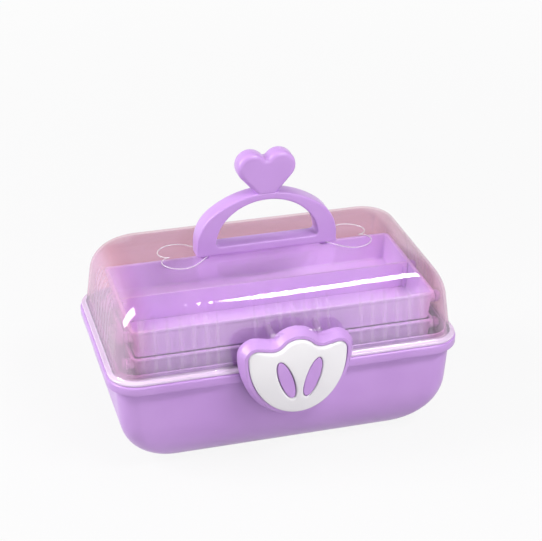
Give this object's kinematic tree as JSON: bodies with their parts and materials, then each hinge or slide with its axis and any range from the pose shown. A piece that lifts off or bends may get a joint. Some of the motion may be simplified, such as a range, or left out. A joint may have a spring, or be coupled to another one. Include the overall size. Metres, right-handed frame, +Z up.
{
  "type": "multi-layer storage box",
  "caption": "Carry box with a clear domed lid, heart-topped handle, front clasp and stacked trays that lift on side arms as the lid opens.",
  "frame": {"origin": "middle of the flat face that the box rests on", "axes": "+X along the box, front faces -Y, +Z up"},
  "size_m": [0.27, 0.1835, 0.2216],
  "materials": {
    "lilac_plastic": "gloss",
    "clear_plastic": "clear gloss",
    "white_plastic": "gloss",
    "steel": "satin"
  },
  "bodies": {
    "base": {"tub": "lilac_plastic", "tub_arm_pins": "lilac_plastic", "lid_hinge_pins": "steel"},
    "lid": {"lid": "clear_plastic", "handle": "lilac_plastic", "handle_screws": "lilac_plastic"},
    "clasp": {"clasp_body": "lilac_plastic", "clasp_face_plate": "white_plastic", "clasp_tongue": "lilac_plastic", "clasp_pin": "clear_plastic"},
    "lower_front_arms": {"lower_front_arm_left": "lilac_plastic", "lower_front_arm_right": "lilac_plastic"},
    "lower_rear_arms": {"lower_rear_arm_left": "lilac_plastic", "lower_rear_arm_right": "lilac_plastic"},
    "lower_tray": {"lower_tray": "lilac_plastic", "lower_tray_pins": "lilac_plastic", "lower_tray_link_pins": "lilac_plastic"},
    "upper_front_arms": {"upper_front_arm_left": "lilac_plastic", "upper_front_arm_right": "lilac_plastic"},
    "upper_rear_arms": {"upper_rear_arm_left": "lilac_plastic", "upper_rear_arm_right": "lilac_plastic"},
    "upper_tray": {"upper_tray": "lilac_plastic", "upper_tray_divider": "lilac_plastic", "upper_tray_pins": "lilac_plastic"}
  },
  "joints": [
    {"name": "lid_hinge", "type": "hinge", "parent": "base", "child": "lid", "pos_m": [0, 0.083, 0.082], "axis": [-1, 0, 0], "range_deg": [0, 130], "deforming": ["clasp_tongue"]},
    {"name": "clasp_hinge", "type": "hinge", "parent": "lid", "child": "clasp", "pos_m": [0, -0.084, 0.1142], "axis": [-1, 0, 0], "range_deg": [0, 60], "deforming": ["clasp_tongue"]},
    {"name": "lower_front_arm_swing", "type": "hinge", "parent": "base", "child": "lower_front_arms", "pos_m": [0, -0.0125, 0.0656], "axis": [-1, 0, 0], "range_deg": [0, 78]},
    {"name": "lower_rear_arm_swing", "type": "hinge", "parent": "base", "child": "lower_rear_arms", "pos_m": [0, 0.0395, 0.0656], "axis": [-1, 0, 0], "range_deg": [0, 78]},
    {"name": "lower_tray_level", "type": "hinge", "parent": "lower_front_arms", "child": "lower_tray", "pos_m": [0, -0.0525, 0.0883], "axis": [-1, 0, 0], "range_deg": [-78, 0]},
    {"name": "upper_front_arm_swing", "type": "hinge", "parent": "lower_tray", "child": "upper_front_arms", "pos_m": [0, -0.0125, 0.0883], "axis": [-1, 0, 0], "range_deg": [0, 78]},
    {"name": "upper_rear_arm_swing", "type": "hinge", "parent": "lower_tray", "child": "upper_rear_arms", "pos_m": [0, 0.0395, 0.0883], "axis": [-1, 0, 0], "range_deg": [0, 78]},
    {"name": "upper_tray_level", "type": "hinge", "parent": "upper_front_arms", "child": "upper_tray", "pos_m": [0, -0.0525, 0.111], "axis": [-1, 0, 0], "range_deg": [-78, 0]}
  ],
  "couplings": [
    {"joint": "lower_front_arm_swing", "follows": "lid_hinge", "ratio": 0.6},
    {"joint": "lower_rear_arm_swing", "follows": "lid_hinge", "ratio": 0.6},
    {"joint": "lower_tray_level", "follows": "lid_hinge", "ratio": -0.6},
    {"joint": "upper_front_arm_swing", "follows": "lid_hinge", "ratio": 0.6},
    {"joint": "upper_rear_arm_swing", "follows": "lid_hinge", "ratio": 0.6},
    {"joint": "upper_tray_level", "follows": "lid_hinge", "ratio": -0.6}
  ]
}
